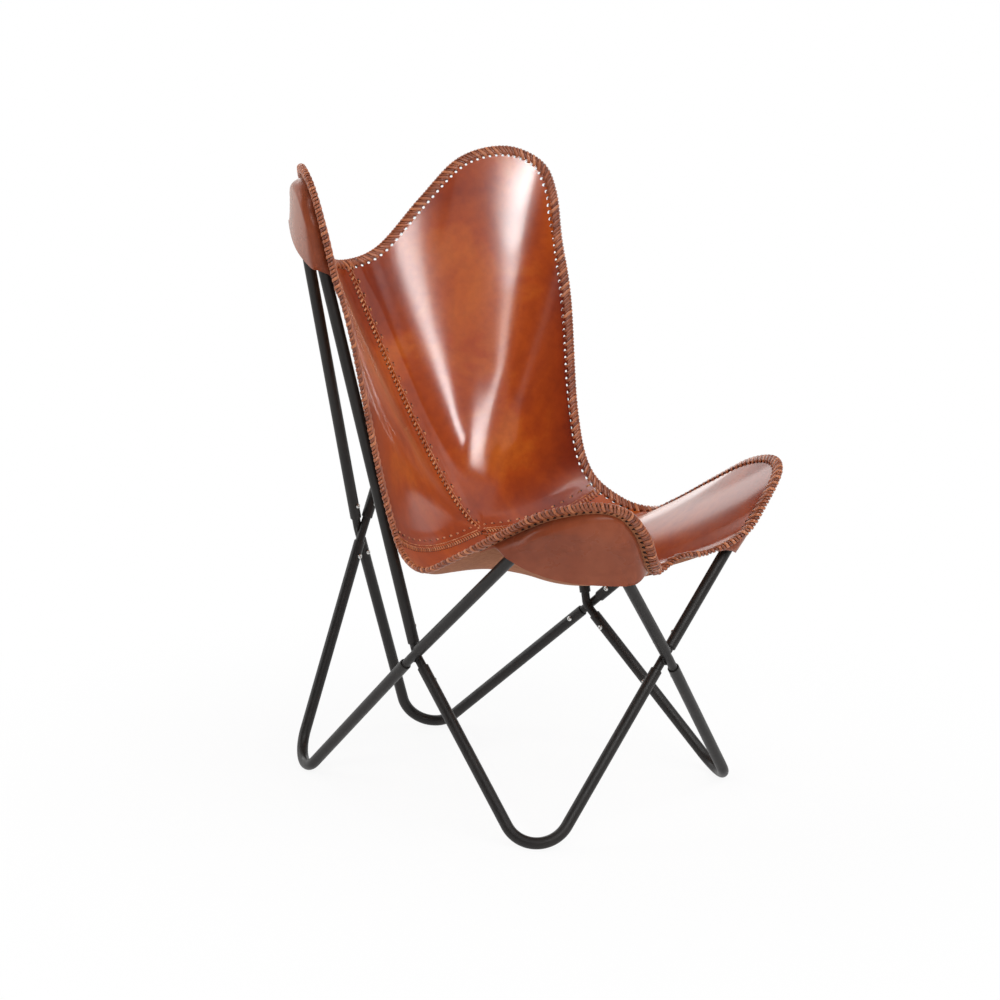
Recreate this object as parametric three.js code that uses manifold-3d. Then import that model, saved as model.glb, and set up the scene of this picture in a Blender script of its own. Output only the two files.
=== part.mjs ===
// Butterfly sling chair: a leather sling whose four pockets hang on the bent tubes of a knock-down frame.
// Millimetres, +Z up. The chair faces -Y, right is +X, and the origin is on the floor under its middle.

import * as THREE from 'three';
import { mergeVertices } from 'three/addons/utils/BufferGeometryUtils.js';
import Module from 'manifold-3d';

const wasm = await Module();
wasm.setup();

// Frame tubes: every loop is one tube, two straight legs and a bend
const tubeRadius = 8;
const tubeWall = 1.4;
const footBendRadius = 45;
const frontTopBendRadius = 60;
const rearTopBendRadius = 56;
const footFlatDepth = 0.4;
const clearance = 0.3;

// Where the straight legs of a loop would meet, as distances from the middle of the chair
const frontFootX = 229;
const frontFootY = -215;
const rearFootX = 140;
const rearFootY = 317;
const frontTopX = 241;
const frontTopY = -291;
const rearTopX = 260;
const rearTopY = 215;

// Height of the tube's centre at the top of the upper loops
const frontTopHeight = 436;
const rearTopHeight = 840;

// Where the tubes cross
const sideCrossingX = 193;
const sideCrossingY = 25;
const sideCrossingHeight = 220;
const frontCrossingY = -255;
const frontCrossingHeight = 224;
const rearCrossingY = 298;
const rearCrossingHeight = 327;

// Cross connectors: two bent rods welded where they cross, pushed into the tube ends
const tubeEndFromCrossing = 18;
const rodInTube = 45;
const rodBendRadius = 20;
const weldDepth = 1.5;

// Lock screws, one through each tube end into its rod
const screwFromTubeEnd = 22;
const screwShankRadius = 2;
const screwShankLength = 7;
const screwHeadRadius = 3.5;
const screwHeadHeight = 2;

// Sling leather
const leatherThickness = 3;
const pocketThickness = 2;
const laceThickness = 1.5;
const laceDepth = 7;
const seamCrossRadius = 4;

// Seam cross, the lowest part of the centre seams, and the slope of the leather there
const seamCrossY = 67;
const seamCrossHeight = 353;
const seamCrossSlope = THREE.MathUtils.degToRad(23);
const sideSag = 22;

// How the leather runs from the seam cross to its edge, as shares of the way: level at the near
// handle, then level and rise at the far handle of a cubic curve
const backRun = [0.16, 0.43, 0.27];
const seatRun = [0.28, 0.63, 0.08];

// Sling outline between the lobes: the rear notch and top edge, the sides, the front edge and notch
const rearNotchY = 322;
const rearNotchHeight = 716;
const topEdge = [[56, 307, 733]];
const sideOutline = [[239, 3, 372], [255, -45, 362]];
const frontEdge = [[28, -259, 362]];
const frontNotchY = -241;
const frontNotchHeight = 342;

// Sling outline beside the rear legs: outwards and forwards of the leg, and the height
const legOutline = [[6, 18.5, 500], [13, 24.5, 414]];

// Side seam: how many columns of the leather it ends past the outline's last point beside the rear leg
const sideSeamColumns = 1;

// Lobe outlines beside their loop's bend: outwards, upwards, and inwards past the tube's front
const rearLobe = [[-117, 0, 12], [-66, 64, 5], [-2, 87, 0], [52, 70, 0], [76, 29, 0], [90, -38, 0], [111, -126, 2]];
const frontLobe = [[150, -37, 0], [88, 29, 0], [40, 75, 0], [-20, 103, 0], [-66, 97, 0], [-98, 55, 0],
  [-114, 9, 0], [-125, -39, 24]];

// Pockets: each is laced along a share of its lobe's outline, and its mouth hangs between the two ends
// of that lacing. The sag leans to the loop's outer leg by a share, and the flare stands off the loop.
const rearPocketShare = [0.08, 0.83];
const frontPocketShare = [0.14, 0.93];
const pocketHem = 4;
const rearPocketSag = 12;
const frontPocketSag = 29;
const rearSagLeanShare = -0.4;
const frontSagLeanShare = 0.6;
const rearPocketFlare = 13;
const frontPocketFlare = 5;

// A pocket's wrap round the tube ends at a share of the tube's radius. The lower the power of its
// mouth's sag, the fuller that sag is near the ends.
const pocketWrapShare = 0.6;
const pocketMouthPower = 0.6;

// Fineness of the curved pieces
const tubeSides = 12;
const bendSteps = 8;
const rodBendSteps = 3;
const screwSides = 8;
const columnsPerPoint = 2;
const panelRows = [0, 0.2, 0.4, 0.6, 0.8, 0.92, 1];
const pocketRows = 9;

// Finishes
const blackPaint = new THREE.MeshStandardMaterial({ color: 0x2b2826, roughness: 0.45, metalness: 0.2 });
const zincSteel = new THREE.MeshStandardMaterial({ color: 0xb9b9b6, roughness: 0.35, metalness: 0.9 });
const cognacLeather = new THREE.MeshStandardMaterial({ color: 0x9c4a1c, roughness: 0.35, metalness: 0 });
const pocketLeather = new THREE.MeshStandardMaterial({ color: 0x82483a, roughness: 0.55, metalness: 0 });
const laceLeather = new THREE.MeshStandardMaterial({ color: 0x8a4a2a, roughness: 0.5, metalness: 0 });

// Sizes that follow from the ones above
const boreRadius = tubeRadius - tubeWall;
const rodRadius = boreRadius * Math.cos(Math.PI / tubeSides) - clearance;
const rodOffset = rodRadius - weldDepth / 2;
const lobeInset = tubeRadius + clearance + leatherThickness / 2;
const pocketBehindLoop = tubeRadius + clearance + pocketThickness / 2;
const flatBehind = pocketWrapShare * tubeRadius;
const laceInner = leatherThickness / 2 + clearance;
const laceOuter = laceInner + laceThickness;
const seamCross = new THREE.Vector3(0, seamCrossY, seamCrossHeight);

const chair = new THREE.Group();

function vector(x, y, z) {
  return new THREE.Vector3(x, y, z);
}

function along(start, direction, distance) {
  return start.clone().addScaledVector(direction, distance);
}

function unit(from, to) {
  return to.clone().sub(from).normalize();
}

function addMesh(name, geometry, finish) {
  const mesh = new THREE.Mesh(geometry, finish.clone());
  mesh.name = name;
  chair.add(mesh);
  return mesh;
}

// A closed solid through rings of equal length: it joins back to its first ring, or is capped
// across the pairs of points that face each other in its end rings.
function loft(rings, joined = false) {
  const count = rings[0].length;
  const faces = [];
  const spans = joined ? rings.length : rings.length - 1;
  for (let i = 0; i < spans; i += 1) {
    const near = i * count;
    const far = ((i + 1) % rings.length) * count;
    for (let k = 0; k < count; k += 1) {
      const next = (k + 1) % count;
      faces.push([near + k, near + next, far + next], [near + k, far + next, far + k]);
    }
  }
  const last = (rings.length - 1) * count;
  for (let k = 0; k < count / 2 - 1 && !joined; k += 1) {
    const facing = count - 1 - k;
    faces.push([k, facing, facing - 1], [k, facing - 1, k + 1]);
    faces.push([last + k, last + k + 1, last + facing - 1], [last + k, last + facing - 1, last + facing]);
  }
  const points = rings.flat();
  const corner = vector();
  let volume = 0;
  for (const [a, b, c] of faces) {
    volume += points[a].dot(corner.crossVectors(points[b], points[c]));
  }
  const outward = volume > 0 ? faces : faces.map(([a, b, c]) => [a, c, b]);
  return new THREE.BufferGeometry().setFromPoints(points).setIndex(outward.flat());
}

function toSolid(geometry) {
  const bare = geometry.clone();
  bare.deleteAttribute('normal');
  bare.deleteAttribute('uv');
  const merged = mergeVertices(bare);
  const vertProperties = new Float32Array(merged.attributes.position.array);
  const triVerts = new Uint32Array(merged.index.array);
  return new wasm.Manifold(new wasm.Mesh({ numProp: 3, vertProperties, triVerts }));
}

function toGeometry(solid) {
  const mesh = solid.getMesh();
  const position = new THREE.BufferAttribute(new Float32Array(mesh.vertProperties), mesh.numProp);
  const index = new THREE.BufferAttribute(new Uint32Array(mesh.triVerts), 1);
  return new THREE.BufferGeometry().setAttribute('position', position).setIndex(index);
}

// The bend between two straight legs that would meet at a corner
function bendBetween(corner, endA, endB, radius) {
  const towardA = unit(corner, endA);
  const towardB = unit(corner, endB);
  const halfAngle = towardA.angleTo(towardB) / 2;
  const up = towardA.clone().add(towardB).negate().normalize();
  const across = towardA.clone().sub(towardB).normalize();
  const normal = across.clone().cross(up);
  const centre = along(corner, up, -radius / Math.sin(halfAngle));
  return { centre, up, across, normal, radius, span: Math.PI / 2 - halfAngle };
}

// Stations along a bent tube: the first end, the bend, the last end, each with its outward direction
function bentPath(bend, endA, endB, steps) {
  const outAt = (angle) => along(bend.up.clone().multiplyScalar(Math.cos(angle)), bend.across, Math.sin(angle));
  const path = [{ point: endA, out: outAt(bend.span) }];
  for (let i = 0; i <= steps; i += 1) {
    const out = outAt(bend.span * (1 - (2 * i) / steps));
    path.push({ point: along(bend.centre, out, bend.radius), out });
  }
  path.push({ point: endB, out: outAt(-bend.span) });
  return path;
}

function roundRings(path, normal, radius) {
  return path.map(({ point, out }) => {
    const ring = [];
    for (let k = 0; k < tubeSides; k += 1) {
      const angle = (2 * Math.PI * (k + 0.5)) / tubeSides;
      ring.push(along(along(point, out, radius * Math.cos(angle)), normal, radius * Math.sin(angle)));
    }
    return ring;
  });
}

function pipe(path, normal, outerRadius, innerRadius) {
  const outside = roundRings(path, normal, outerRadius);
  const inside = roundRings(path, normal, innerRadius).reverse();
  return loft([...outside, ...inside], true);
}

// Crossings, and which loops use the outer or the inner rod of each
const crossings = {};

function addCrossing(name, centre, outward, outerLoops, innerLoops) {
  crossings[name] = { centre, outward, outerLoops, innerLoops };
}

for (const [side, sign] of [['left', -1], ['right', 1]]) {
  addCrossing(side, vector(sign * sideCrossingX, sideCrossingY, sideCrossingHeight), vector(sign, 0, 0),
    [`foot_rear_${side}`, `top_front_${side}`], [`top_rear_${side}`, `foot_front_${side}`]);
}
addCrossing('front', vector(0, frontCrossingY, frontCrossingHeight), vector(0, -1, 0),
  ['top_front_left', 'foot_front_right'], ['foot_front_left', 'top_front_right']);
addCrossing('rear', vector(0, rearCrossingY, rearCrossingHeight), vector(0, 1, 0),
  ['top_rear_left', 'foot_rear_right'], ['foot_rear_left', 'top_rear_right']);

function rodCentre(crossingName, loopName) {
  const crossing = crossings[crossingName];
  const layer = crossing.outerLoops.includes(loopName) ? rodOffset : -rodOffset;
  return along(crossing.centre, crossing.outward, layer);
}

// A loop's corner is raised or lowered until its bend's extreme height is the wanted one
function settleCorner(corner, endA, endB, radius, wantedHeight) {
  const settleRounds = 20;
  for (let i = 0; i < settleRounds; i += 1) {
    const bend = bendBetween(corner, endA, endB, radius);
    const reach = radius * Math.sqrt(1 - bend.normal.z ** 2) * Math.sign(bend.up.z);
    corner.z += wantedHeight - (bend.centre.z + reach);
  }
  return corner;
}

const footHeight = tubeRadius * Math.cos(Math.PI / tubeSides) - footFlatDepth;
const loopShapes = [
  { kind: 'foot', end: 'front', x: frontFootX, y: frontFootY, radius: footBendRadius, height: footHeight },
  { kind: 'foot', end: 'rear', x: rearFootX, y: rearFootY, radius: footBendRadius, height: footHeight },
  { kind: 'top', end: 'front', x: frontTopX, y: frontTopY, radius: frontTopBendRadius, height: frontTopHeight },
  { kind: 'top', end: 'rear', x: rearTopX, y: rearTopY, radius: rearTopBendRadius, height: rearTopHeight },
];
const loops = {};
for (const shape of loopShapes) {
  for (const [side, sign] of [['left', -1], ['right', 1]]) {
    const name = `${shape.kind}_${shape.end}_${side}`;
    const ends = { [side]: rodCentre(side, name), [shape.end]: rodCentre(shape.end, name) };
    const [endA, endB] = Object.values(ends);
    const corner = settleCorner(vector(sign * shape.x, shape.y, shape.height), endA, endB, shape.radius, shape.height);
    const bend = bendBetween(corner, endA, endB, shape.radius);
    loops[name] = { ...shape, side, corner, ends, bend };
  }
}

// One leg's direction away from a crossing
function legDirection(loop, crossingName) {
  return unit(loop.ends[crossingName], loop.corner);
}

// Lock screws point from the inner face of the frame into the leg
function screwSeats(loop) {
  return Object.entries(loop.ends).map(([crossingName, rodPoint]) => {
    const leg = legDirection(loop, crossingName);
    const inward = crossings[crossingName].outward.clone().negate();
    const axis = along(inward, leg, -inward.dot(leg)).normalize();
    const centre = along(rodPoint, leg, tubeEndFromCrossing + screwFromTubeEnd);
    return { crossingName, axis, seat: along(centre, axis, tubeRadius + clearance) };
  });
}

const upright = vector(0, 1, 0);

function screwHole({ axis, seat }) {
  const depth = screwShankLength + clearance;
  const hole = new THREE.CylinderGeometry(screwShankRadius + clearance, screwShankRadius + clearance,
    2 * depth, screwSides);
  hole.applyQuaternion(new THREE.Quaternion().setFromUnitVectors(upright, axis));
  hole.translate(seat.x, seat.y, seat.z);
  return toSolid(hole);
}

function screwBody() {
  const profile = [[0, -screwShankLength], [screwShankRadius, -screwShankLength], [screwShankRadius, 0],
    [screwHeadRadius, 0], [screwHeadRadius, screwHeadHeight], [0, screwHeadHeight]];
  return new THREE.LatheGeometry(profile.map(([x, y]) => new THREE.Vector2(x, y)), screwSides);
}

// Everything below the floor, to press the foot bends flat
function belowFloor() {
  const reach = 2000;
  return toSolid(new THREE.BoxGeometry(reach, reach, tubeRadius).translate(0, 0, -tubeRadius / 2));
}

// Frame loops and their screws
const floorCut = belowFloor();
for (const loop of Object.values(loops)) {
  const tubeEnds = Object.entries(loop.ends).map(([crossingName, rodPoint]) =>
    along(rodPoint, legDirection(loop, crossingName), tubeEndFromCrossing));
  const path = bentPath(loop.bend, ...tubeEnds, bendSteps);
  let tube = toSolid(pipe(path, loop.bend.normal, tubeRadius, boreRadius));
  for (const seat of screwSeats(loop)) {
    tube = tube.subtract(screwHole(seat));
    const screw = addMesh(`screw_${loop.kind}_${loop.end}_${loop.side}_${seat.crossingName}_crossing`,
      screwBody(), zincSteel);
    screw.position.copy(seat.seat);
    screw.quaternion.setFromUnitVectors(upright, seat.axis);
  }
  if (loop.kind === 'foot') {
    tube = tube.subtract(floorCut);
  }
  addMesh(`${loop.kind}_loop_${loop.end}_${loop.side}`, toGeometry(tube), blackPaint);
}

// Cross connectors
function connectorRod(crossingName, loopNames) {
  const corner = rodCentre(crossingName, loopNames[0]);
  const reach = tubeEndFromCrossing + rodInTube;
  const ends = loopNames.map((name) => along(corner, legDirection(loops[name], crossingName), reach));
  const bend = bendBetween(corner, ...ends, rodBendRadius);
  return toSolid(loft(roundRings(bentPath(bend, ...ends, rodBendSteps), bend.normal, rodRadius)));
}

for (const [crossingName, crossing] of Object.entries(crossings)) {
  const outerRod = connectorRod(crossingName, crossing.outerLoops);
  const innerRod = connectorRod(crossingName, crossing.innerLoops);
  let connector = outerRod.add(innerRod);
  for (const loopName of [...crossing.outerLoops, ...crossing.innerLoops]) {
    const seat = screwSeats(loops[loopName]).find((entry) => entry.crossingName === crossingName);
    connector = connector.subtract(screwHole(seat));
  }
  addMesh(`cross_connector_${crossingName}`, toGeometry(connector), blackPaint);
}

// A loop's own axes: outwards to its side crossing, upwards to its corner, inwards to the sitter
function loopAxes(loop) {
  const facing = Math.sign(seamCross.clone().sub(loop.bend.centre).dot(loop.bend.normal));
  return { out: loop.bend.across, up: loop.bend.up, inward: loop.bend.normal.clone().multiplyScalar(facing) };
}

function fromLoop(loop, out, up, inward) {
  const axes = loopAxes(loop);
  return along(along(along(loop.bend.centre, axes.out, out), axes.up, up), axes.inward, inward);
}

function toLoop(loop, point) {
  const axes = loopAxes(loop);
  const offset = point.clone().sub(loop.bend.centre);
  return { out: offset.dot(axes.out), up: offset.dot(axes.up), inward: offset.dot(axes.inward) };
}

// A point beside the leg that climbs from a side crossing to a rear top
function besideRearLeg(side, sign, [outward, forward, height]) {
  const loop = loops[`top_rear_${side}`];
  const foot = loop.ends[side];
  const leg = legDirection(loop, side);
  return along(foot, leg, (height - foot.z) / leg.z).add(vector(sign * outward, -forward, 0));
}

// The sling's outline: a closed smooth curve through the notches, the lobes and the sides
function halfOutline(side, sign) {
  const lobe = (loop, points) => points.map(([out, up, extra]) => fromLoop(loop, out, up, lobeInset + extra));
  const plain = ([x, y, z]) => vector(sign * x, y, z);
  return [
    ...topEdge.map(plain),
    ...lobe(loops[`top_rear_${side}`], rearLobe),
    ...legOutline.map((point) => besideRearLeg(side, sign, point)),
    ...sideOutline.map(plain),
    ...lobe(loops[`top_front_${side}`], frontLobe),
    ...frontEdge.map(plain),
  ];
}

const outlinePoints = [
  vector(0, rearNotchY, rearNotchHeight),
  ...halfOutline('right', 1),
  vector(0, frontNotchY, frontNotchHeight),
  ...halfOutline('left', -1).reverse(),
];
const outlineCount = outlinePoints.length;
const frontNotchAt = outlineCount / 2;
const rearLobeAt = topEdge.length + 1;
const lastLegPoint = rearLobeAt + rearLobe.length + legOutline.length - 1;
const sideSeamAt = lastLegPoint + sideSeamColumns / columnsPerPoint;
const frontLobeAt = lastLegPoint + sideOutline.length + 1;
const outline = new THREE.CatmullRomCurve3(outlinePoints, true, 'catmullrom');

// The leather runs from the seam cross to each outline point along a cubic curve that starts level
const slingUp = vector(0, -Math.sin(seamCrossSlope), Math.cos(seamCrossSlope));
const slingRear = vector(0, Math.cos(seamCrossSlope), Math.sin(seamCrossSlope));

function slingPoint(share, place) {
  const edge = outline.getPoint(place / outlineCount).sub(seamCross);
  const rise = edge.dot(slingUp);
  const level = along(edge, slingUp, -rise);
  const rearward = level.dot(slingRear) / level.length();
  const backShare = ((1 + rearward) / 2) ** 2;
  const [nearLevel, farLevel, farRise] = seatRun.map((seat, i) => THREE.MathUtils.lerp(seat, backRun[i], backShare));
  const near = 3 * (1 - share) ** 2 * share;
  const far = 3 * (1 - share) * share ** 2;
  const end = share ** 3;
  const drop = far * sideSag * (1 - rearward ** 2);
  const point = along(seamCross, level, near * nearLevel + far * farLevel + end);
  return along(point, slingUp, rise * (far * farRise + end) - drop);
}

// Normals of a grid of points, from its neighbours
function gridNormals(grid) {
  const lastColumn = grid.length - 1;
  const lastRow = grid[0].length - 1;
  return grid.map((column, i) => column.map((point, j) => {
    const acrossColumns = grid[Math.min(i + 1, lastColumn)][j].clone().sub(grid[Math.max(i - 1, 0)][j]);
    const alongColumn = column[Math.min(j + 1, lastRow)].clone().sub(column[Math.max(j - 1, 0)]);
    return acrossColumns.cross(alongColumn).normalize();
  }));
}

function thickSheet(grid, normals, thickness) {
  return loft(grid.map((column, i) => [
    ...column.map((point, j) => along(point, normals[i][j], thickness / 2)),
    ...column.map((point, j) => along(point, normals[i][j], -thickness / 2)).reverse(),
  ]));
}

// A quarter of the sling, from the seam cross to the outline, half a clearance short of its seams.
// Its last two rows are the inner and the outer limit of the lacing.
function slingPanel(firstPlace, lastPlace) {
  const columns = (lastPlace - firstPlace) * columnsPerPoint;
  const panel = { grid: [], normals: [], firstPlace };
  const probe = 0.01;
  for (let i = 0; i <= columns; i += 1) {
    const place = firstPlace + i / columnsPerPoint;
    const seam = { 0: 1, [columns]: -1 }[i] ?? 0;
    const firstShare = probe * seamCrossRadius / slingPoint(probe, place).distanceTo(seamCross);
    const laceShare = 1 - probe * laceDepth / slingPoint(1 - probe, place).distanceTo(slingPoint(1, place));
    const shares = panelRows.map((row) => THREE.MathUtils.lerp(firstShare, laceShare, row));
    const points = [];
    const normals = [];
    for (const share of [...shares, 1]) {
      const outer = Math.min(share + probe, 1);
      const sideways = unit(slingPoint(share, place - probe), slingPoint(share, place + probe));
      const outwards = unit(slingPoint(outer - probe, place), slingPoint(outer, place));
      points.push(along(slingPoint(share, place), sideways, seam * clearance / 2));
      normals.push(sideways.clone().cross(outwards).normalize());
    }
    panel.grid.push(points);
    panel.normals.push(normals);
  }
  return panel;
}

// Directions at one column's edge: inwards over the leather, and square to it
function edgeFrame(panel, column) {
  const points = panel.grid[column];
  const edge = points.at(-1);
  const square = panel.normals[column].at(-1);
  const inwards = unit(edge, points.at(-2));
  inwards.addScaledVector(square, -inwards.dot(square)).normalize();
  return { edge, square, inwards };
}

// The lacing wraps the edge as a channel
function edgeLace(panel) {
  const section = [
    [laceDepth, laceInner], [-clearance, laceInner],
    [-clearance, -laceInner], [laceDepth, -laceInner],
    [laceDepth, -laceOuter], [-clearance - laceThickness, -laceOuter],
    [-clearance - laceThickness, laceOuter], [laceDepth, laceOuter],
  ];
  return loft(panel.grid.map((points, column) => {
    const { edge, square, inwards } = edgeFrame(panel, column);
    return section.map(([depth, height]) => along(along(edge, inwards, depth), square, height));
  }));
}

// The way off a loop's centre line within its plane, and how far along it a point lies
function besideLoop(loop, out, up) {
  const { span, radius } = loop.bend;
  const angle = THREE.MathUtils.clamp(Math.atan2(out, up), -span, span);
  const away = new THREE.Vector2(Math.sin(angle), Math.cos(angle));
  return { away, distance: out * away.x + up * away.y - radius };
}

// A point behind the lobe, moved off its loop's tube where it would be closer than the pocket can lie
function clearOfTube(loop, place, depth) {
  const { away, distance } = besideLoop(loop, place.x, place.y);
  const closeness = pocketBehindLoop / Math.hypot(distance, depth);
  const grow = Math.max(1, closeness);
  const clear = place.clone().addScaledVector(away, distance * (grow - 1));
  return fromLoop(loop, clear.x, clear.y, depth * grow);
}

// A pocket's mouth in its loop's plane: the share of the way across between its ends, and its height
function pocketMouth(firstEnd, lastEnd, { sag, lean }, out) {
  const share = THREE.MathUtils.clamp((out - firstEnd.x) / (lastEnd.x - firstEnd.x), 0, 1);
  const outerShare = (2 * share - 1) * Math.sign(lastEnd.x - firstEnd.x);
  const fullness = Math.sin(Math.PI * share) ** pocketMouthPower;
  const level = THREE.MathUtils.lerp(firstEnd.y, lastEnd.y, share);
  return { share, height: level - pocketHem - sag * fullness * (1 + lean * outerShare) };
}

// A pocket runs from behind the lacing round the outside of its loop, then down behind it to its mouth
function pocket(panel, firstPlace, lastPlace, loop, hang) {
  const firstColumn = Math.round((firstPlace - panel.firstPlace) * columnsPerPoint);
  const lastColumn = Math.round((lastPlace - panel.firstPlace) * columnsPerPoint);
  const behindLace = laceOuter + clearance + pocketThickness / 2;
  const outside = -Math.sign(loopAxes(loop).inward.dot(panel.normals[firstColumn].at(-1)));
  const starts = [];
  for (let column = firstColumn; column <= lastColumn; column += 1) {
    const { edge, square } = edgeFrame(panel, column);
    const { out, up, inward } = toLoop(loop, along(edge, square, outside * behindLace));
    starts.push({ level: new THREE.Vector2(out, up), inward });
  }
  const mouthAt = (out) => pocketMouth(starts[0].level, starts.at(-1).level, hang, out);
  const grid = starts.map(({ level, inward }) => {
    const { away, distance } = besideLoop(loop, level.x, level.y);
    const behind = level.clone().addScaledVector(away, flatBehind - distance);
    const startOver = level.y - mouthAt(level.x).height;
    const behindOver = behind.y - mouthAt(behind.x).height;
    const cutShare = behindOver < 0 ? startOver / (startOver - behindOver) : 1;
    const lastAngle = Math.acos(1 - cutShare);
    const wrapLength = lastAngle * Math.hypot(level.distanceTo(behind), inward + pocketBehindLoop) * Math.SQRT1_2;
    const hangLength = Math.max(0, behindOver);
    const flare = hang.flare * Math.sin(Math.PI * mouthAt(behind.x).share);
    const column = [];
    for (let k = 0; k <= pocketRows; k += 1) {
      const travelled = ((wrapLength + hangLength) * k) / pocketRows;
      const angle = lastAngle * Math.min(1, travelled / wrapLength);
      const fallen = Math.max(0, travelled - wrapLength);
      const place = behind.clone().lerp(level, Math.cos(angle));
      place.y -= fallen;
      const wrapDepth = THREE.MathUtils.lerp(inward, -pocketBehindLoop, Math.sin(angle));
      const hangDepth = fallen > 0 ? (flare * fallen) / hangLength : 0;
      column.push(clearOfTube(loop, place, wrapDepth - hangDepth));
    }
    return column;
  });
  return thickSheet(grid, gridNormals(grid), pocketThickness);
}

// Sling: a back and a seat panel on each side, their lacing, and a pocket over each upper loop
function addSlingSide(side, fromRear) {
  const between = (start, end) => slingPanel(...[fromRear(start), fromRear(end)].sort((a, b) => a - b));
  const back = between(0, sideSeamAt);
  const seat = between(sideSeamAt, frontNotchAt);
  for (const [name, panel] of [['back', back], ['seat', seat]]) {
    addMesh(`${name}_panel_${side}`, thickSheet(panel.grid, panel.normals, leatherThickness), cognacLeather);
    addMesh(`${name}_lace_${side}`, edgeLace(panel), laceLeather);
  }
  const pockets = [
    ['rear', back, rearLobeAt, rearLobe.length - 1, rearPocketShare,
      { sag: rearPocketSag, lean: rearSagLeanShare, flare: rearPocketFlare }],
    ['front', seat, frontLobeAt, frontLobe.length - 1, frontPocketShare,
      { sag: frontPocketSag, lean: frontSagLeanShare, flare: frontPocketFlare }],
  ];
  for (const [end, panel, lobeAt, lobeSpan, shares, hang] of pockets) {
    const range = shares.map((share) => fromRear(lobeAt + share * lobeSpan)).sort((a, b) => a - b);
    const body = pocket(panel, ...range, loops[`top_${end}_${side}`], hang);
    addMesh(`pocket_${end}_${side}`, body, pocketLeather);
  }
}

addSlingSide('right', (place) => place);
addSlingSide('left', (place) => outlineCount - place);

export default chair;
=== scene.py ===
"""Butterfly sling chair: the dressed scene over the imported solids.

Sizes are in millimetres until a mesh is made.
"""

import math
from types import SimpleNamespace

import bpy
import numpy as np
from mathutils import Matrix, Vector


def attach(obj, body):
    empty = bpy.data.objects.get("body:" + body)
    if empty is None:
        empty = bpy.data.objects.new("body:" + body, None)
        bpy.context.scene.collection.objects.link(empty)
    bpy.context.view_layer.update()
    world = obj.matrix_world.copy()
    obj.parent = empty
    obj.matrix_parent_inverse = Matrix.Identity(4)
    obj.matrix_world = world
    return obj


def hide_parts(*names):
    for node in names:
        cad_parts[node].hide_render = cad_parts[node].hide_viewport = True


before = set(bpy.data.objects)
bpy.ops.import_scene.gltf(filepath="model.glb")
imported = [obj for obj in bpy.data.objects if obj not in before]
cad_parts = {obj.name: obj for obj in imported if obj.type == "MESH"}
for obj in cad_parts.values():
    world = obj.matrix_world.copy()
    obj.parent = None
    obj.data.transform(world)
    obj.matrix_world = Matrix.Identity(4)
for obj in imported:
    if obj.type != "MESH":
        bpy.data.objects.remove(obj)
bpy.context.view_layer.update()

MM = 0.001
SIDES = (("left", -1), ("right", 1))
WHITE = (1, 1, 1, 1)
SHARP_ANGLE = math.radians(40)

# Camera, as fitted to the photograph: angles in degrees, and how far it sees in metres
TARGET = (0, 34, 404.1)
CAMERA = SimpleNamespace(azimuth=-50.5, elevation=11.7, distance=3818.8, lens=98.63, sensor=36, sight=100)

# Light of the surroundings: from the ceiling, and more of it from low down. The low light ends between two
# heights of a direction, where 0 is level and 1 is straight up.
CEILING_LIGHT = 0.12
LOW_LIGHT = 0.45
LOW_LIGHT_END = (-0.02, 0.14)

# Floor: how far it reaches, its colour, the metres from its middle between which it fades to the background,
# and how white it is at each
FLOOR_REACH = 30000
FLOOR_COLOUR = (0.86, 0.86, 0.86, 1)
FLOOR_FADE = (0.3, 1.1)
FLOOR_WHITE = (0.9, 1)

# Two curved banks of strip lamps, for the streaks on the back: azimuth and elevation in degrees, radiance.
# Their spread is in degrees, and the distance of every lamp in metres.
BANKS = {
    "upper_bank": ((-61, 35, 27), (-44, 37.2, 27), (-28, 39, 29), (-16, 40.5, 33), (-4, 40.3, 29)),
    "lower_bank": ((-49, 26.6, 52), (-43, 27.2, 42), (-34, 26.7, 11), (-20, 27.6, 12), (-12, 31.6, 22),
                   (0, 37, 30), (10, 41, 22)),
}
BANK_SPREAD = 1.9
BANK_LAMPS = 12
LAMP_DISTANCE = 30

# Soft boxes: azimuth and elevation in degrees, width and height in degrees as seen from the chair, radiance
SOFT_BOXES = {
    "front_box": (-22, 32.5, (44, 14), 2.4),
    "rear_box": (160, 28, (60, 44), 3.4),
    "rear_core": (156, 28, (18, 14), 6),
    "right_low_box": (102, 14, (80, 26), 3.8),
    "right_high_box": (45, 55, (40, 40), 3.2),
    "top_box": (-20, 68, (50, 34), 3.2),
    "left_box": (-150, 22, (34, 34), 8),
}
SOFT_BOX_STEPS = 3

# Frame tubes
TUBE_RADIUS = 8
TUBE_WALL = 1.4
TUBE_FACETS = 12
END_ROUNDING = 0.7
FOOT_FLAT_DEPTH = 0.4
CLEARANCE = 0.3
TUBE_SIDES = 32
BEND_STEPS = 28

FRONT_CROSSING = (0, -255, 224)
REAR_CROSSING = (0, 298, 327)
SIDE_CROSSING = (193, 25, 220)
FOOT_HEIGHT = TUBE_RADIUS * math.cos(math.pi / TUBE_FACETS) - FOOT_FLAT_DEPTH
LOOP_SHAPES = (
    SimpleNamespace(kind="foot", end="front", x=229, y=-215, radius=45, height=FOOT_HEIGHT),
    SimpleNamespace(kind="foot", end="rear", x=140, y=317, radius=45, height=FOOT_HEIGHT),
    SimpleNamespace(kind="top", end="front", x=241, y=-291, radius=60, height=436),
    SimpleNamespace(kind="top", end="rear", x=260, y=215, radius=56, height=840),
)

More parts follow.
